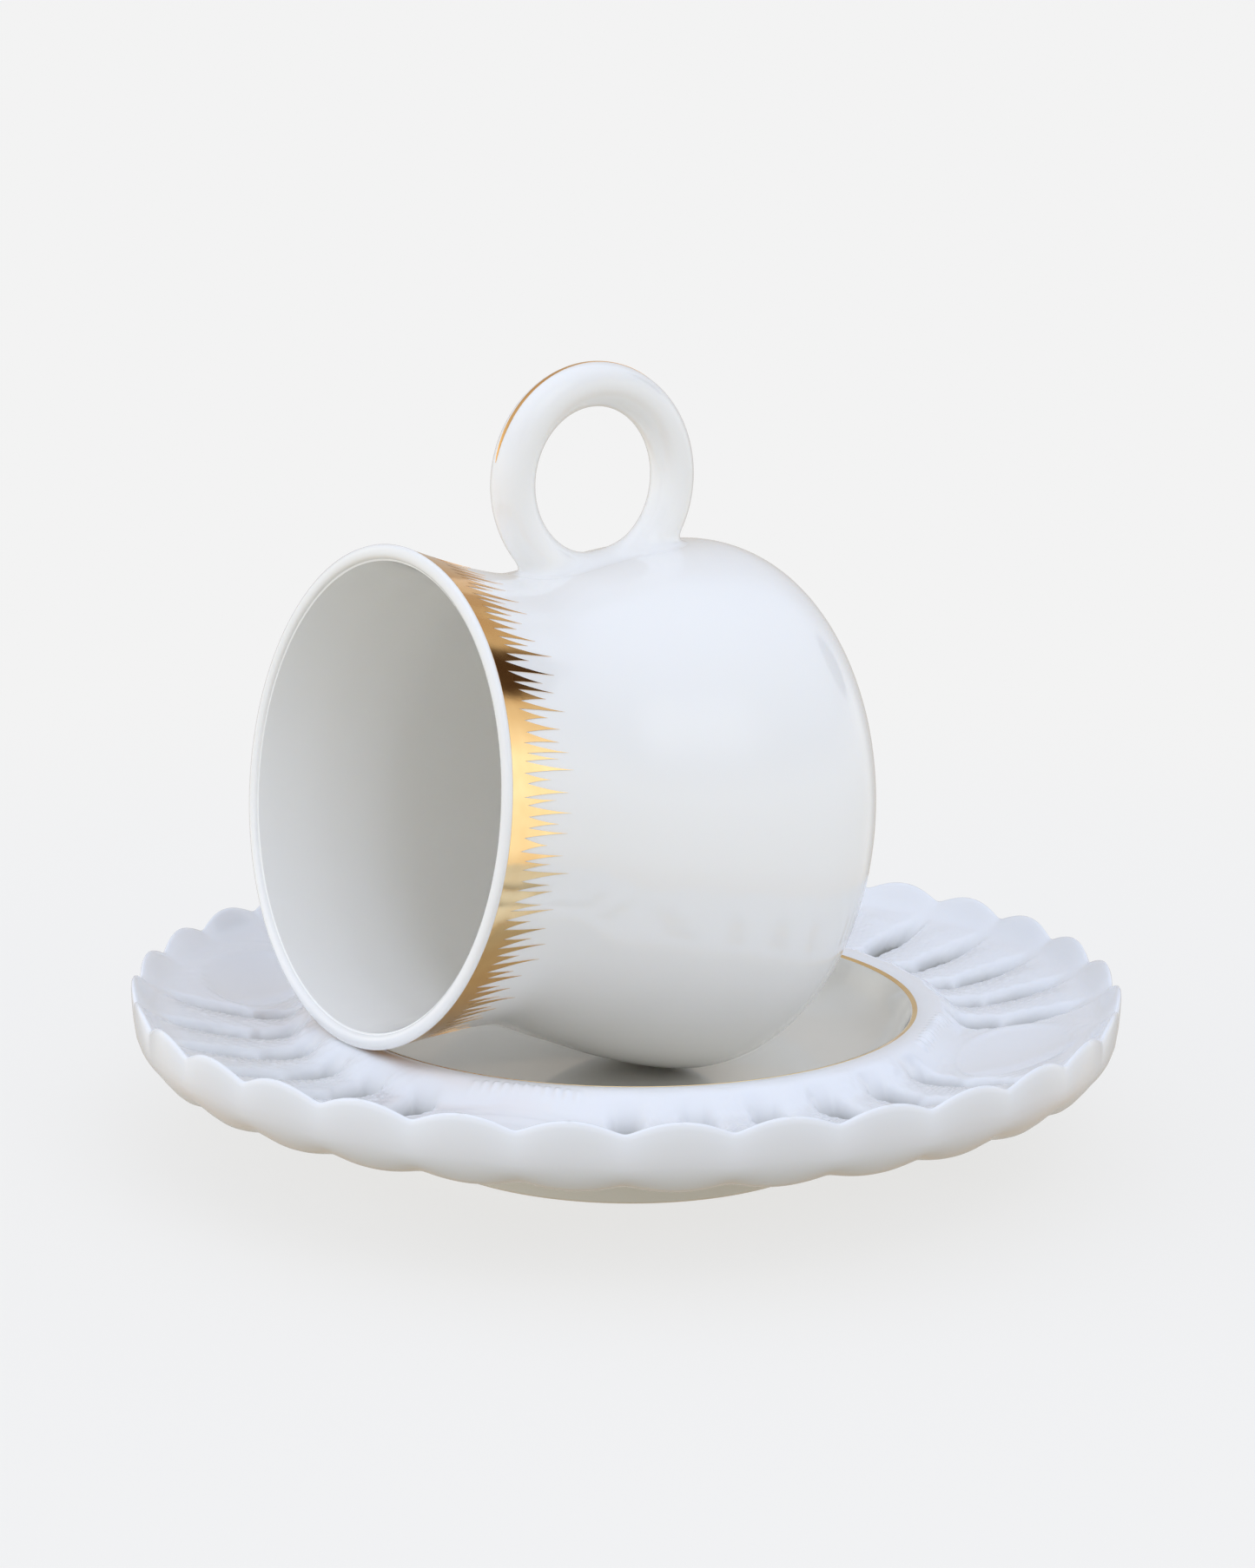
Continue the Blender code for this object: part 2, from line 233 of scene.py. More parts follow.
# round the saucer the floor takes shadows, and further out it melts into the background
glow = floor_tree.nodes.new("ShaderNodeEmission")
glow.inputs["Color"].default_value = (*BACKGROUND, 1.0)
floor_place = floor_tree.nodes.new("ShaderNodeTexCoord")
floor_distance = floor_tree.nodes.new("ShaderNodeVectorMath")
floor_distance.operation = "LENGTH"
link(floor_tree, floor_place, "Object", floor_distance, "Vector")
floor_fade = range_node(floor_tree, *FLOOR_FADE, smooth=True)
link(floor_tree, floor_distance, "Value", floor_fade, "Value")
floor_mix = floor_tree.nodes.new("ShaderNodeMixShader")
link(floor_tree, floor_fade, "Result", floor_mix, "Fac")
link(floor_tree, floor_shader, "BSDF", floor_mix, 1)
link(floor_tree, glow, "Emission", floor_mix, 2)
link(floor_tree, floor_mix, "Shader", floor_tree.nodes["Material Output"], "Surface")
floor.data.materials.append(floor_material)
floor.visible_glossy = floor.visible_diffuse = False
floor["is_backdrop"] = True


# ---------------------------------------------------------------------------------------------
# Cup: the thrown and turned body with its foot ring, one piece of white porcelain under a clear
# glaze. It lies on its side, its lip on the saucer's seat ring and its belly in the well.

MOUTH_CENTRE = Vector((-37.5, -23.2, 57.85)) * MM
CUP_AXIS = Vector(frame["record"]["mounts"][1]["axis"]).normalized()
CUP_WALL = 2.2
CUP_OUTLINE = [
    (36.6, 0.0), (35.25, 6.0), (34.05, 13.0), (33.6, 22.0), (36.1, 32.0), (38.9, 42.0),
    (40.6, 51.0), (40.75, 57.0), (38.9, 62.0), (34.6, 66.2), (28.6, 69.2), (23.4, 70.6),
]
CUP_FOOT_END = [(24.0, 71.2), (24.0, 72.6), (23.3, 73.3), (22.1, 73.3), (21.4, 72.6), (21.1, 71.4),
                (20.2, 70.7), (0.0, 70.3)]
# the floor inside, and how near the base the lining of the wall goes
CUP_FLOOR = [(0.0, 67.0), (10.0, 67.0), (20.0, 66.95), (25.5, 66.65)]
LINING_END = 66.4
LIP_ROUND = 0.55
LIP_STEPS = 8
CURVE_STEPS = 5
CUP_STEPS = 192

# the cup's own frame: +Z from the mouth to the base, the handle at -X, which points up
cup_side = Vector((0, 0, 1)).cross(CUP_AXIS).normalized()
cup_frame = Matrix.Translation(MOUTH_CENTRE) @ Matrix(
    (cup_side.cross(CUP_AXIS), cup_side, CUP_AXIS)).transposed().to_4x4()


def curve_through(points, steps):
    """A Catmull-Rom curve through the points, with this many steps in each span."""
    points = [Vector(point) for point in points]
    ends = [2 * points[0] - points[1], *points, 2 * points[-1] - points[-2]]
    curve = []
    for i in range(1, len(ends) - 2):
        before, start, end, after = ends[i - 1 : i + 3]
        for step in range(steps):
            t = step / steps
            curve.append(0.5 * (2 * start + (end - before) * t
                                + (2 * before - 5 * start + 4 * end - after) * t ** 2
                                + (3 * start - before - 3 * end + after) * t ** 3))
    return [*curve, points[-1]]


def offset_curve(points, distance):
    """The curve moved out from the wall by a distance, measured square to it."""
    moved = []
    for i, point in enumerate(points):
        run = (points[min(i + 1, len(points) - 1)] - points[max(i - 1, 0)]).normalized()
        moved.append(point + distance * Vector((run.y, -run.x)))
    return moved


def turned(name, outline, steps):
    """A body turned about Z from an outline of (radius, height) points in mm, end to end."""
    bpy.ops.object.select_all(action="DESELECT")
    bpy.ops.mesh.primitive_plane_add(size=MM)
    piece = bpy.context.object
    piece.name = piece.data.name = name
    bpy.ops.object.mode_set(mode="EDIT")
    bpy.ops.mesh.merge(type="CENTER")
    place = Vector((0, 0, 0))
    for radius, height in outline:
        point = Vector((radius, 0, height)) * MM
        if place.length_squared == 0.0:
            bpy.ops.transform.translate(value=point)
        else:
            bpy.ops.mesh.extrude_region_move(TRANSFORM_OT_translate={"value": point - place})
        place = point
    bpy.ops.mesh.select_all(action="SELECT")
    bpy.ops.mesh.spin(steps=steps, angle=tau, center=(0, 0, 0), axis=(0, 0, 1))
    bpy.ops.mesh.select_all(action="SELECT")
    bpy.ops.mesh.remove_doubles(threshold=1e-6)
    bpy.ops.mesh.normals_make_consistent(inside=False)
    bpy.ops.object.mode_set(mode="OBJECT")
    bpy.ops.object.shade_smooth_by_angle(angle=radians(50))
    return piece


def put(piece, matrix):
    """Turns and moves a piece's mesh to its place, and leaves its object at the origin."""
    piece.data.transform(matrix)
    piece.matrix_world = Matrix.Identity(4)
    piece.data.update()


def noise_node(tree, place, output, scale, detail=2.0):
    """Soft noise on the coordinates that another node gives."""
    node = tree.nodes.new("ShaderNodeTexNoise")
    node.inputs["Scale"].default_value = scale
    node.inputs["Detail"].default_value = detail
    link(tree, place, output, node, "Vector")
    return node


def bump_node(tree, height, strength, distance):
    """A bump from a noise node."""
    node = tree.nodes.new("ShaderNodeBump")
    node.inputs["Strength"].default_value = strength
    node.inputs["Distance"].default_value = distance
    link(tree, height, "Fac", node, "Height")
    return node


def porcelain(name, colour, shade, roughness, coat, wave_size, painted_shade_colour=None):
    """White porcelain under a clear glaze: faint clouds of colour, soft waves and a fine skin.

    The last argument, where given, is painted shade: a colour that the mesh's per-point shade attribute
    mixes in, to darken the slits.
    """
    made = bpy.data.materials.new(name)
    made.use_nodes = True
    tree = made.node_tree
    shader = tree.nodes["Principled BSDF"]
    shader.inputs["Roughness"].default_value = roughness
    shader.inputs["IOR"].default_value = 1.5
    shader.inputs["Coat Weight"].default_value = coat
    shader.inputs["Coat Roughness"].default_value = 0.04
    shader.inputs["Subsurface Weight"].default_value = 0.12
    shader.inputs["Subsurface Radius"].default_value = (1.0, 0.85, 0.7)
    shader.inputs["Subsurface Scale"].default_value = 0.002
    place = tree.nodes.new("ShaderNodeTexCoord")
    clouds = noise_node(tree, place, "Object", 28.0, 3.0)
    tint = ramp_node(tree, [(0.35, colour), (0.65, shade)])
    link(tree, clouds, "Fac", tint, "Fac")
    base = tint.outputs["Color"]
    if painted_shade_colour:
        # painted shade: the base colour goes towards the given dark colour where the points' shade
        # attribute is high
        depth = tree.nodes.new("ShaderNodeAttribute")
        depth.attribute_name = "painted_slit_shade"
        base = mix_colours(tree, depth.outputs["Fac"], base, painted_shade_colour)
    tree.links.new(base, shader.inputs["Base Color"])
    waves = bump_node(tree, noise_node(tree, place, "Object", wave_size, 1.0), 0.35, 0.0004)
    skin = bump_node(tree, noise_node(tree, place, "Object", 900.0), 0.06, 0.00004)
    link(tree, waves, "Normal", skin, "Normal")
    link(tree, skin, "Normal", shader, "Normal")
    return made


cup_outside = curve_through(CUP_OUTLINE, CURVE_STEPS)
cup_lining = [point for point in offset_curve(cup_outside, -CUP_WALL) if point.y < LINING_END]
lip_middle = (cup_outside[0].x + cup_lining[0].x) / 2
lip_half = (cup_outside[0].x - cup_lining[0].x) / 2
lip_height = LIP_ROUND * lip_half
lip_turns = [pi * step / LIP_STEPS for step in range(LIP_STEPS + 1)]
cup_body = turned("teacup_body", [
    *CUP_FLOOR,
    *[tuple(point) for point in reversed(cup_lining) if point.y > lip_height],
    *[(lip_middle - lip_half * cos(turn), lip_height * (1 - sin(turn))) for turn in lip_turns],
    *[tuple(point) for point in cup_outside if point.y > lip_height],
    *CUP_FOOT_END,
], CUP_STEPS)
put(cup_body, cup_frame)
cup_glaze = porcelain("cup_glaze", colour=(0.94, 0.925, 0.88), shade=(0.93, 0.915, 0.87),
                      roughness=0.12, coat=0.5, wave_size=22.0)
cup_body.data.materials.append(cup_glaze)
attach(cup_body, "cup")
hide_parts("cup_bowl", "cup_foot_ring")


# ---------------------------------------------------------------------------------------------
# Ring handle: a rolled and joined ring of the same porcelain, sunk a little into the wall and
# luted on with slip, which leaves a soft fillet all round its root.

# the ring's middle, from the mouth along the cup and out from its axis
RING_S, RING_RISE = 32.6, 48.4
RING_RADIUS = 14.2
RING_TUBE = 3.3
RING_DEPTH = 0.6
SLIP_FILLET = 2.3
SLIP_SPREAD = 1.1
SLIP_SINK = 0.03
# how far past the ring the skin is looked for: over its top, beside it, and along the cup
SKIN_MARGIN = (1.0, 4.5, 6.5)
SKIN_BOTTOM = 30.5
SKIN_STEP = 0.36


def ring_field(place):
    """Below zero inside the ring and its slip fillet, in mm, at points of the cup's own frame."""
    x, y, z = place[..., 0], place[..., 1], place[..., 2]
    off_ring = np.hypot(np.hypot(x + RING_RISE, z - RING_S) - RING_RADIUS, y) - RING_TUBE
    wall = np.interp(z, [point.y for point in cup_outside], [point.x for point in cup_outside])
    off_wall = np.hypot(x, y) - wall + SLIP_SINK
    near_both = np.maximum(SLIP_FILLET - np.abs(off_ring - off_wall), 0.0)
    joined = np.minimum(off_ring, off_wall) - near_both ** 2 / (4 * SLIP_FILLET)
    too_deep = -off_wall - RING_DEPTH
    past_slip = off_ring - SLIP_SPREAD * SLIP_FILLET
    return np.maximum(joined, np.maximum(too_deep, past_slip))


def skin_of(field, low, high, step):
    """A closed skin where a field crosses zero, as points and four-sided faces.

    Each cell of a grid that the skin passes through gives one point, the middle of the crossings
    on its edges, and each crossed edge one face. The points are then drawn in to the field's zero.
    """
    lines = [np.arange(a, b, step) for a, b in zip(low, high)]
    grid = np.stack(np.meshgrid(*lines, indexing="ij"), axis=-1)
    value = field(grid)
    cells = tuple(size - 1 for size in value.shape)
    total, count, quads = np.zeros((*cells, 3)), np.zeros(cells), []
    for axis in range(3):
        u, v = (axis + 1) % 3, (axis + 2) % 3
        here, there = [slice(None)] * 3, [slice(None)] * 3
        here[axis], there[axis] = slice(0, -1), slice(1, None)
        start, end = value[tuple(here)], value[tuple(there)]
        crosses = (start < 0) != (end < 0)
        share = np.where(crosses, start / np.where(crosses, start - end, 1.0), 0.0)[..., None]
        point = grid[tuple(here)] * (1 - share) + grid[tuple(there)] * share
        for du in (0, 1):
            for dv in (0, 1):
                part = [slice(None)] * 3
                part[u], part[v] = slice(du, cells[u] + du), slice(dv, cells[v] + dv)
                met = crosses[tuple(part)]
                total += np.where(met[..., None], point[tuple(part)], 0.0)
                count += met
        for edge in np.argwhere(crosses):
            around = []
            for du, dv in ((1, 1), (0, 1), (0, 0), (1, 0)):
                cell = edge.copy()
                cell[u] -= du
                cell[v] -= dv
                around.append(tuple(cell))
            quads.append(around if start[tuple(edge)] < 0 else around[::-1])
    used = count > 0
    number = np.full(cells, -1)
    number[used] = np.arange(used.sum())
    place = total[used] / count[used][:, None]
    rounds, nudge, least_slope = 5, 0.01, 0.3
    for _ in range(rounds):
        slope = np.stack([field(place + shift) - field(place - shift)
                          for shift in nudge * np.eye(3)], axis=-1) / (2 * nudge)
        gain = field(place) / np.maximum((slope ** 2).sum(axis=-1), least_slope)
        place = place - np.clip(gain, -step / 2, step / 2)[:, None] * slope
    return place, [[int(number[cell]) for cell in around] for around in quads]


over, beside, lengthways = SKIN_MARGIN
ring_points, ring_faces = skin_of(
    ring_field,
    (-RING_RISE - RING_RADIUS - RING_TUBE - over, -RING_TUBE - beside, RING_S - RING_RADIUS - lengthways),
    (-SKIN_BOTTOM, RING_TUBE + beside, RING_S + RING_RADIUS + lengthways), SKIN_STEP)
ring_data = bpy.data.meshes.new("ring_handle_glazed")
ring_data.from_pydata((ring_points * MM).tolist(), [], ring_faces)
ring_data.shade_smooth()
ring = add_object("ring_handle_glazed", ring_data)
put(ring, cup_frame)
ring.data.materials.append(cup_glaze)
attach(ring, "cup")
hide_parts("ring_handle")


# ---------------------------------------------------------------------------------------------
# Gilding on the lip: burnished gold brushed on outside the lip as a plain band, drawn out into a
# hundred and fifty uneven points towards the base. Fired on over the glaze.

GILT_HEIGHT = 0.05
GILT_FILM = 0.04
GILT_START = 1.0
GILT_ROOT = 3.2
BAND_ROWS = 5
# notches between the points: how far they wander sideways, in spacings, and along the cup, in mm
NOTCH_WANDER = 0.16
NOTCH_RISE = (-0.2, 1.1)
SPIKES = 150
SPIKE_ROWS = 8
SPIKE_LENGTHS = (6.6, 9.4)
SHORT_SPIKE = 0.70
SPIKE_LEAN = 0.2
SPIKE_TAPER = 1.5
# painted shade: the gold is dimmed to a tint towards both ends of its frame's X (on the cup, its top and
# bottom as it lies), beyond these shares of the way across the piece
PAINTED_DIM_UNTIL, UNDIMMED_FROM, UNDIMMED_UNTIL, PAINTED_DIM_FROM = 0.20, 0.36, 0.60, 0.78
GOLD_HALF_WIDTH = 36.0


def gold(name, streak_frame, painted_dim_tint):
    """Burnished gold: a warm mirror with faint streaks and patches, and painted shade, a dim tint,
    towards two ends.

    The streaks run along Z of their frame, and the painted shade dims the gold at both ends of its X.
    """
    made = bpy.data.materials.new(name)
    made.use_nodes = True
    tree = made.node_tree
    shader = tree.nodes["Principled BSDF"]
    shader.inputs["Metallic"].default_value = 1.0
    place = tree.nodes.new("ShaderNodeTexCoord")
    turn = tree.nodes.new("ShaderNodeMapping")
    turn.vector_type = "TEXTURE"
    turn.inputs["Location"].default_value = streak_frame.to_translation()
    turn.inputs["Rotation"].default_value = streak_frame.to_euler()
    turn.inputs["Scale"].default_value = (1.0, 1.0, 5.0)
    link(tree, place, "Object", turn, "Vector")
    patches = noise_node(tree, place, "Object", 160.0)
    tint = ramp_node(tree, [(0.3, (0.92, 0.66, 0.33)), (0.7, (1.0, 0.79, 0.45))])
    link(tree, patches, "Fac", tint, "Fac")
    split = tree.nodes.new("ShaderNodeSeparateXYZ")
    link(tree, turn, "Vector", split, "Vector")
    spread = range_node(tree, -GOLD_HALF_WIDTH * MM, GOLD_HALF_WIDTH * MM)
    link(tree, split, "X", spread, "Value")
    # painted shade: this ramp multiplies the gold's colour down towards both ends of the frame's X
    full = (1.0, 1.0, 1.0)
    painted_dimming = ramp_node(tree, [(0.0, painted_dim_tint), (PAINTED_DIM_UNTIL, painted_dim_tint), (UNDIMMED_FROM, full),
                                (UNDIMMED_UNTIL, full), (PAINTED_DIM_FROM, painted_dim_tint), (1.0, painted_dim_tint)])
    link(tree, spread, "Result", painted_dimming, "Fac")
    base = mix_colours(tree, 1.0, tint.outputs["Color"], painted_dimming.outputs["Color"], "MULTIPLY")
    tree.links.new(base, shader.inputs["Base Color"])
    streaks = noise_node(tree, turn, "Vector", 1100.0, 4.0)
    rough = tree.nodes.new("ShaderNodeMapRange")
    rough.inputs["To Min"].default_value = 0.07
    rough.inputs["To Max"].default_value = 0.16
    link(tree, streaks, "Fac", rough, "Value")
    link(tree, rough, "Result", shader, "Roughness")
    link(tree, bump_node(tree, streaks, 0.10, 0.00003), "Normal", shader, "Normal")
    return made


def gilt_film(name, sheet):
    """A piece made of a sheet on the glaze, given the thickness of the gold outwards."""
    data = bpy.data.meshes.new(name)
    sheet.to_mesh(data)
    sheet.free()
    piece = add_object(name, data)
    bpy.ops.object.select_all(action="DESELECT")
    bpy.context.view_layer.objects.active = piece
    piece.select_set(True)
    film = piece.modifiers.new("film", "SOLIDIFY")
    film.thickness = GILT_FILM * MM
    film.offset = 1.0
    bpy.ops.object.modifier_apply(modifier="film")
    bpy.ops.object.shade_smooth_by_angle(angle=radians(40))
    return piece


draw = np.random.default_rng(11)
gilt_curve = offset_curve(cup_outside, GILT_HEIGHT)
gilt_s = [point.y for point in gilt_curve]
gilt_r = [point.x for point in gilt_curve]


def on_wall(turn, s):
    """A point on the outside of the cup, at a turn about its axis and a height from the mouth."""
    radius = np.interp(s, gilt_s, gilt_r)
    return Vector((radius * cos(turn), radius * sin(turn), s)) * MM


# each point stands between two notches, on two columns of the band: at a notch and halfway on
spacing = tau / SPIKES
notches = [(i + draw.uniform(-NOTCH_WANDER, NOTCH_WANDER)) * spacing for i in range(SPIKES)]
notches.append(notches[0] + tau)
notch_s = [GILT_ROOT + draw.uniform(*NOTCH_RISE) for _ in range(SPIKES)]
notch_s.append(notch_s[0])
gilt_sheet = bmesh.new()
band = []
for i in range(SPIKES):
    halfway = notches[i] + (notches[i + 1] - notches[i]) * 0.5
    for turn, end in ((notches[i], notch_s[i]), (halfway, (notch_s[i] + notch_s[i + 1]) / 2)):
        heights = [GILT_START + (end - GILT_START) * row / BAND_ROWS for row in range(BAND_ROWS + 1)]
        band.append([gilt_sheet.verts.new(on_wall(turn, height)) for height in heights])
band.append(band[0])
for column, after in zip(band, band[1:]):
    for row in range(BAND_ROWS):
        gilt_sheet.faces.new((column[row], after[row], after[row + 1], column[row + 1]))

for i in range(SPIKES):
    length = (1.0 if i % 2 else SHORT_SPIKE) * draw.uniform(*SPIKE_LENGTHS)
    lean = draw.uniform(-SPIKE_LEAN, SPIKE_LEAN) * spacing
    centre = (notches[i] + notches[i + 1]) / 2
    base_middle = (notch_s[i] + notch_s[i + 1]) / 2
    bases = ((-1, notch_s[i]), (0, base_middle), (1, notch_s[i + 1]))
    tip_s = base_middle + length
    rows = [[column[-1] for column in band[2 * i : 2 * i + 3]]]
    for row in range(1, SPIKE_ROWS):
        share = row / SPIKE_ROWS
        half = (notches[i + 1] - notches[i]) / 2 * (1 - share) ** SPIKE_TAPER
        rows.append([gilt_sheet.verts.new(on_wall(centre + lean * share + side * half,
                                                  base + (tip_s - base) * share))
                     for side, base in bases])
    tip = gilt_sheet.verts.new(on_wall(centre + lean, tip_s))
    for low, high in zip(rows, rows[1:]):
        gilt_sheet.faces.new((low[0], low[1], high[1], high[0]))
        gilt_sheet.faces.new((low[1], low[2], high[2], high[1]))
    gilt_sheet.faces.new((rows[-1][0], rows[-1][1], tip))
    gilt_sheet.faces.new((rows[-1][1], rows[-1][2], tip))
gilt = gilt_film("spiked_gold_rim", gilt_sheet)
put(gilt, cup_frame)
# painted shade: the cup's gold is dimmed to this brown at the cup's top and bottom as it lies, and all
# along the handle's line
cup_gold = gold("cup_gold", cup_frame, (0.84, 0.64, 0.42))
gilt.data.materials.append(cup_gold)
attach(gilt, "cup")
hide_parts("cup_gold_rim")


# ---------------------------------------------------------------------------------------------
# Gold line on the handle: one brush line along the outside of the ring, over its top, with the
# brush lifted at both ends.

LINE_FROM, LINE_TO = radians(4.0), radians(176.0)
LINE_STEPS = 120
LINE_SIDE_STEPS = 3
LINE_HALF_TURN = radians(6.5)
BRUSH_LIFT = 9.0
LIFTED_WIDTH = 0.05

line_sheet = bmesh.new()
line_rows = []
for step in range(LINE_STEPS + 1):
    share = step / LINE_STEPS
    turn = LINE_FROM + (LINE_TO - LINE_FROM) * share
    width = max(min(1.0, BRUSH_LIFT * share, BRUSH_LIFT * (1 - share)) ** 0.5, LIFTED_WIDTH)
    row = []
    for k in range(-LINE_SIDE_STEPS, LINE_SIDE_STEPS + 1):
        side = k / LINE_SIDE_STEPS * LINE_HALF_TURN * width
        out = RING_RADIUS + (RING_TUBE + GILT_HEIGHT) * cos(side)
        place = Vector((-RING_RISE - out * sin(turn), (RING_TUBE + GILT_HEIGHT) * sin(side),
                        RING_S - out * cos(turn)))
        row.append(line_sheet.verts.new(place * MM))
    line_rows.append(row)
for low, high in zip(line_rows, line_rows[1:]):
    for k in range(2 * LINE_SIDE_STEPS):
        line_sheet.faces.new((low[k], low[k + 1], high[k + 1], high[k]))
handle_line = gilt_film("gold_line_on_handle", line_sheet)
put(handle_line, cup_frame)
handle_line.data.materials.append(cup_gold)
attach(handle_line, "cup")
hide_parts("handle_gold_line")


# ---------------------------------------------------------------------------------------------
# Saucer, middle: the turned dish with its foot ring, of one clay and firing with the border
# round it, under a glossy clear glaze.

WELL_TOP = [(0.0, 9.6), (14.0, 9.65), (26.0, 10.0), (33.0, 11.1), (38.2, 13.3), (41.6, 16.6),
            (43.3, 19.8), (43.9, 20.95), (44.3, 21.07)]
WELL_UNDER = [(44.3, 13.7), (42.6, 10.6), (38.5, 7.2), (35.2, 5.3), (34.2, 4.2), (34.0, 0.5), (33.5, 0.0),
              (31.5, 0.0), (31.0, 0.5), (30.9, 4.6), (30.0, 5.5), (24.0, 5.8), (0.0, 6.0)]
SAUCER_STEPS = 256

well_top = [tuple(point) for point in curve_through(WELL_TOP, CURVE_STEPS)]
well = turned("saucer_dish", [*well_top, *WELL_UNDER], SAUCER_STEPS)
saucer_glaze = porcelain("saucer_glaze", colour=(0.82, 0.795, 0.72), shade=(0.805, 0.78, 0.705),
                         roughness=0.09, coat=0.6, wave_size=30.0)
well.data.materials.append(saucer_glaze)
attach(well, "saucer")
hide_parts("saucer_well", "saucer_foot_ring")


# ---------------------------------------------------------------------------------------------
# Saucer, border: the pressed openwork round the dish. A raised seat ring, then in each quarter
# five straps with slits between them and one smooth cartouche, and a lobed lip round it all. The
# slits are cut through while the clay is leather hard.

LOBES = 32
SLOT = tau / LOBES
QUARTER = LOBES // 4
FIRST_SLIT = radians(-90.0)
COLUMNS_PER_SLOT = 26
COLUMNS = LOBES * COLUMNS_PER_SLOT
STRAPS = 5
# the middle of a cartouche, in slots from the quarter's first slit
PANEL_MIDDLE = 6.5
BORDER_RADII = [44.32, 45.0, 46.0, *np.arange(46.7, 50.0, 0.45), *np.arange(50.3, 65.0, 0.5),
                *np.arange(65.3, 71.4, 0.75)]
SECTION_STEPS = 6
# the columns of points stand closer together at the slits, by this much
SLIT_CROWDING = 0.42
TOP_SECTION = [(44.3, 21.07), (45.3, 21.35), (46.6, 21.5), (48.2, 21.2), (50.0, 19.8), (51.6, 18.5),
               (53.5, 18.0), (57.0, 18.1), (63.0, 19.2), (68.0, 20.7), (71.3, 21.9)]
UNDER_SECTION = [(44.3, 13.7), (48.0, 13.8), (52.0, 14.2), (57.0, 14.8), (63.0, 16.0), (67.0, 17.0),
                 (69.0, 16.2), (71.3, 14.9)]
# over the lip and down the outer band, at the crown of a lobe
LIP_SECTION = [(72.3, 22.6), (73.2, 23.7), (74.0, 24.8), (74.5, 25.5), (74.85, 25.85), (75.1, 25.85),
               (75.3, 25.5), (75.36, 24.8), (75.3, 23.2), (75.15, 21.4), (74.9, 19.7), (74.4, 18.2),
               (73.6, 16.9), (72.7, 15.8), (72.0, 15.2)]
# between two lobes the lip stands back, drops, and its under edge rises in a flute
CUSP_SETBACK = 0.5
CUSP_DROP = 1.85
CUSP_FLUTE = 0.8
CUSP_ROUNDING = 0.20
LOBE_FULLNESS = 0.75
# where these start on the lip, and the distance over which they grow
LIP_ROOT, LIP_REACH = 70.7, 4.8
LIP_WAIST, LIP_TALL = 17.0, 9.0
WAIST_SETBACK = 0.3
DROP_FROM, DROP_REACH, DROP_CURVE = 71.2, 3.2, 1.3
FLUTE_TOP, FLUTE_TALL = 17.5, 2.3
FLARE = (68.0, 71.3)
FLARE_SETBACK = 0.12
# the slits, as grooves by radius, go through where they leave less clay than this
THROUGH = 0.9
SLIT_DEPTH = [(48.6, 0.0), (50.2, 0.6), (51.3, 1.7), (52.4, 3.4), (54.0, 4.6), (56.0, 4.6), (57.2, 2.5),
              (58.0, 1.9), (58.8, 2.5), (60.0, 4.3), (63.0, 4.2), (64.6, 2.7), (67.0, 1.6), (69.5, 0.6),
              (71.5, 0.0)]
SLIT_HALF_WIDTH = [(48.6, 2.0), (54.0, 2.1), (56.0, 2.1), (58.0, 1.8), (61.0, 2.1), (64.0, 2.0),
                   (68.0, 1.7), (71.5, 1.5)]
SLIT_SQUARENESS = 4.0
# how near a corner of the mesh a slit's edge comes, as a share of the way to the next
SLIT_EDGE_KEEP = 0.02
# painted shade: the glaze in the slits is painted darkest from this depth of groove down
DARK_FROM_DEPTH = 2.6
# the straps' crown and their fine twill, from foot to lip
OPENWORK_FOOT, OPENWORK_LIP = (47.5, 50.5), (71.0, 67.5)
STRAP_CROWN, STRAP_CROWN_WIDTH = 0.65, 0.30
TWILL_HEIGHT, TWILL_PITCH, TWILL_SLANT, TWILL_FROM = 0.14, 1.5, 0.6, 50.0
TWILL_CLEAR = 2.8
# the cartouche: a shallow oval, with lines (place, width, height) round it and towards the lip
OVAL_RADIUS = 61.0
OVAL_HALF_WIDTH, OVAL_HALF_LENGTH = 14.0, 8.4
OVAL_DEPTH = 0.9
OVAL_LINES = [(1.02, 0.05, 0.26), (1.16, 0.045, 0.22)]
OUTER_LINE = (1.31, 0.05, 0.24)
PANEL_END = (70.8, 69.3)
# a string of pearls on the seat ring's slope, at the foot of each cartouche
PEARLS = 11
PEARLS_PER_SLOT = 6.2
PEARL_RADIUS, PEARL_SAG = 48.1, 0.03
PEARL_HALF_WIDTH = 0.85
PEARL_HEIGHT = 0.42


def along(section, radius):
    """The height of a section, smoothly curved, at a radius."""
    fine = curve_through(section, SECTION_STEPS)
    return np.interp(radius, [point.x for point in fine], [point.y for point in fine])


def bump_line(distance, width):
    """A soft ridge or groove: 1 on the line, 0 some widths away from it."""
    return np.exp(-(distance / width) ** 2)


def fade(value, start, end):
    """0 at the start and before it, 1 at the end and after it, and straight between."""
    return np.clip((value - start) / (end - start), 0, 1)


# rows stand by radius and columns by place round the saucer, counted in slots from a slit
radii = np.array(BORDER_RADII)[:, None]
column_slots = np.arange(COLUMNS) / COLUMNS_PER_SLOT
column_slots -= SLIT_CROWDING * np.sin(tau * column_slots) / tau
turns = FIRST_SLIT + column_slots * SLOT
slot_place = np.broadcast_to(column_slots % QUARTER, (len(radii), COLUMNS))
slit_number = np.round(slot_place)
across = (slot_place - slit_number) * SLOT * radii
has_slit = (slit_number <= STRAPS) | (slit_number == QUARTER)
on_strap = slot_place < STRAPS

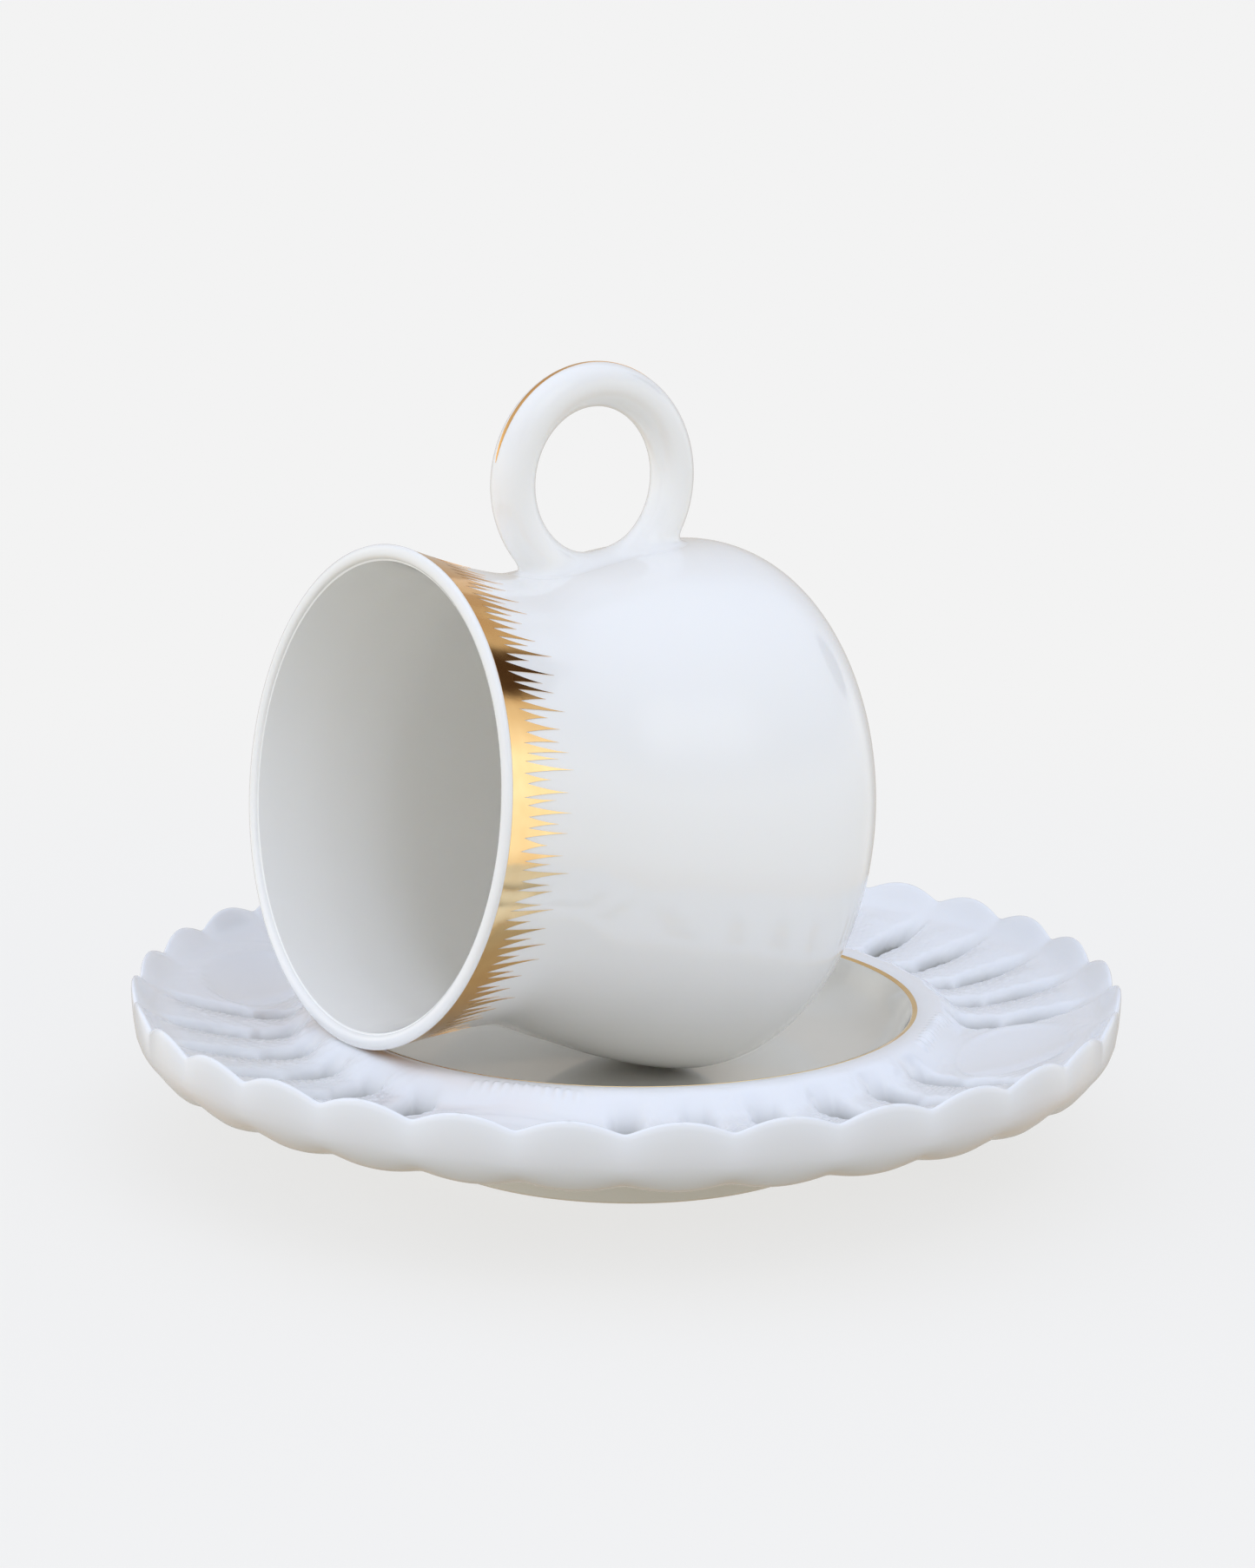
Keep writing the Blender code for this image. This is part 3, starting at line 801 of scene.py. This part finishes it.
groove = along(SLIT_DEPTH, radii) * has_slit
groove = groove * np.exp(-np.abs(across / along(SLIT_HALF_WIDTH, radii)) ** SLIT_SQUARENESS)
openwork = on_strap * fade(radii, *OPENWORK_FOOT) * fade(radii, *OPENWORK_LIP)
crown = STRAP_CROWN * bump_line(slot_place % 1.0 - 0.5, STRAP_CROWN_WIDTH) * openwork
twill = np.cos(tau * (across + TWILL_SLANT * (radii - TWILL_FROM)) / TWILL_PITCH)
twill = TWILL_HEIGHT * twill * openwork * (1 - np.exp(-(across / TWILL_CLEAR) ** 4))

oval_across = (slot_place - PANEL_MIDDLE) * SLOT * radii / OVAL_HALF_WIDTH
oval_out = (radii - OVAL_RADIUS) / OVAL_HALF_LENGTH
oval = np.hypot(oval_across, oval_out)
cartouche = -OVAL_DEPTH * np.clip(1 - oval ** 2, 0, 1)
for line, width, height in OVAL_LINES:
    cartouche += height * bump_line(oval - line, width)
line, width, height = OUTER_LINE
cartouche += height * bump_line(oval - line, width) * np.clip(oval_out, 0, 1)
cartouche *= (slot_place > STRAPS) * fade(radii, *PANEL_END)

pearl_place = (slot_place - PANEL_MIDDLE) * PEARLS_PER_SLOT
pearl_off = radii - PEARL_RADIUS - PEARL_SAG * pearl_place ** 2
pearls = np.cos(pi * (pearl_place - np.round(pearl_place))) ** 2 * (np.abs(pearl_place) < PEARLS / 2)
pearls = PEARL_HEIGHT * pearls * np.exp(-(pearl_off / PEARL_HALF_WIDTH) ** 4)

# how near a cusp each column stands: 0 at a lobe's crown, 1 at the cusps on both sides of it
lobe = np.sin(LOBES / 2 * (turns - FIRST_SLIT)) ** 2
lobe = (lobe + CUSP_ROUNDING ** 2) ** (LOBE_FULLNESS / 2)
lobe_low, lobe_high = CUSP_ROUNDING ** LOBE_FULLNESS, (1 + CUSP_ROUNDING ** 2) ** (LOBE_FULLNESS / 2)
cusp = (lobe_high - lobe) / (lobe_high - lobe_low)

top = along(TOP_SECTION, radii) - groove + crown + twill + cartouche + pearls
under = along(UNDER_SECTION, radii) + CUSP_FLUTE * cusp * fade(radii, *FLARE)
flare_pull = FLARE_SETBACK * CUSP_SETBACK * cusp * fade(radii, *FLARE)
# painted shade in the slits: none at the surface, and full from DARK_FROM_DEPTH of groove down
painted_slit_shade = fade(groove, 0.0, DARK_FROM_DEPTH) ** 2

directions = np.stack([np.cos(turns), np.sin(turns)], axis=1)
points, painted_shade_rows, faces = [], [], []


def add_row(radius, height, painted_shade_value):
    """Adds a row of points round the saucer and returns their numbers."""
    start = len(points) * COLUMNS
    height = np.broadcast_to(height, (COLUMNS,))
    points.append(np.column_stack([directions * radius[:, None], height]))
    # each point's painted shade
    painted_shade_rows.append(np.broadcast_to(painted_shade_value, (COLUMNS,)))
    return np.arange(start, start + COLUMNS)


rows_top = [add_row(radii[i] - flare_pull[i], top[i], painted_slit_shade[i]) for i in range(len(radii))]
rows_lip = []
for radius, height in LIP_SECTION:
    rise = max(0.0, height - LIP_WAIST) / LIP_TALL
    setback = (radius - LIP_ROOT) / LIP_REACH * (WAIST_SETBACK + (1 - WAIST_SETBACK) * rise ** 2)
    drop = rise * min(1.0, (radius - DROP_FROM) / DROP_REACH) ** DROP_CURVE
    flute = max(0.0, FLUTE_TOP - height) / FLUTE_TALL
    rows_lip.append(add_row(radius - setback * CUSP_SETBACK * cusp,
                            height + (flute * CUSP_FLUTE - drop * CUSP_DROP) * cusp, 0.0))
rows_under = [add_row(radii[i] - flare_pull[i], under[i], painted_slit_shade[i]) for i in range(len(radii))]
points = np.concatenate(points)

thickness = top - under
solid = thickness > THROUGH
edge_points = []
crossings = {}


def crossing(start, end):
    """The pair of points, above and below, where the slit's edge crosses a side of a cell."""
    key = (min(start, end), max(start, end))
    if key not in crossings:
        near_clay, far_clay = thickness[key[0]], thickness[key[1]]
        share = (near_clay - THROUGH) / (near_clay - far_clay)
        share = min(max(share, SLIT_EDGE_KEEP), 1 - SLIT_EDGE_KEEP)
        crossings[key] = []
        for rows in (rows_top, rows_under):
            near, far = (points[rows[row][column]] for row, column in key)
            crossings[key].append(len(points) + len(edge_points))
            edge_points.append(near + (far - near) * share)
    return crossings[key]


for i in range(len(radii) - 1):
    for j in range(COLUMNS):
        k = (j + 1) % COLUMNS
        corners = [(i, j), (i + 1, j), (i + 1, k), (i, k)]
        kept = [solid[corner] for corner in corners]
        loop, walls = [], []
        for n in range(4):
            here, there = corners[n], corners[(n + 1) % 4]
            if kept[n]:
                loop.append((rows_top[here[0]][here[1]], rows_under[here[0]][here[1]]))
            if kept[n] != kept[(n + 1) % 4]:
                loop.append(crossing(here, there))
                if kept[n]:
                    walls.append(len(loop) - 1)
        if loop:
            faces.append([pair[0] for pair in loop])
            faces.append([pair[1] for pair in reversed(loop)])
        for place in walls:
            first, second = loop[place], loop[(place + 1) % len(loop)]
            faces.append([second[0], first[0], first[1], second[1]])


def bridge(inner, outer):
    """Joins two rows of points with a band of faces."""
    for j in range(COLUMNS):
        k = (j + 1) % COLUMNS
        faces.append([inner[j], outer[j], outer[k], inner[k]])


for inner, outer in zip([rows_top[-1], *rows_lip], [*rows_lip, rows_under[-1]]):
    bridge(inner, outer)
bridge(rows_under[0], rows_top[0])
all_points = np.concatenate([points, np.array(edge_points)]) * MM
# painted shade: the points on the slits' cut walls get the full shade, and the shade is stored on the
# points
all_painted_shade = np.concatenate([*painted_shade_rows, np.ones(len(edge_points))]).astype(np.float32)
border_data = bpy.data.meshes.new("saucer_border")
border_data.from_pydata(all_points.tolist(), [], [[int(v) for v in face] for face in faces])
border_data.attributes.new("painted_slit_shade", "FLOAT", "POINT").data.foreach_set("value", all_painted_shade)
border = add_object("saucer_border", border_data)
bpy.ops.object.select_all(action="DESELECT")
bpy.context.view_layer.objects.active = border
border.select_set(True)
bpy.ops.object.mode_set(mode="EDIT")
bpy.ops.mesh.select_all(action="SELECT")
bpy.ops.mesh.delete_loose()
bpy.ops.mesh.select_all(action="SELECT")
bpy.ops.mesh.normals_make_consistent(inside=False)
bpy.ops.object.mode_set(mode="OBJECT")
bpy.ops.object.shade_smooth_by_angle(angle=radians(60))
# the border's slits are painted with shade, this dark grey at their deepest
border_glaze = porcelain("border_glaze", colour=(0.895, 0.905, 0.915), shade=(0.88, 0.89, 0.90),
                         roughness=0.22, coat=0.35, wave_size=30.0, painted_shade_colour=(0.38, 0.38, 0.37))
border.data.materials.append(border_glaze)
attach(border, "saucer")
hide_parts("seat_ring", "scalloped_rim", *[f"strap_{i:02d}" for i in range(1, 21)],
            *[f"cartouche_panel_{i}" for i in range(1, 5)])


# ---------------------------------------------------------------------------------------------
# Gold line on the saucer: a brush line on the edge of the well, drawn while the saucer turned on
# a banding wheel.

BRUSH_LINE = [(43.92, 21.0), (44.0, 21.07), (44.3, 21.14), (44.62, 21.24), (44.7, 21.18), (44.3, 21.0),
              (43.92, 21.0)]

gold_ring = turned("gold_line_on_saucer", BRUSH_LINE, SAUCER_STEPS)
# painted shade: the saucer's gold line is dimmed to this grey towards its left and right
saucer_gold = gold("saucer_gold", Matrix.Identity(4), (0.86, 0.86, 0.86))
gold_ring.data.materials.append(saucer_gold)
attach(gold_ring, "saucer")
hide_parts("saucer_gold_line")


# ---------------------------------------------------------------------------------------------
# The box round everything that is rendered, leaving out the floor.

low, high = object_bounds()
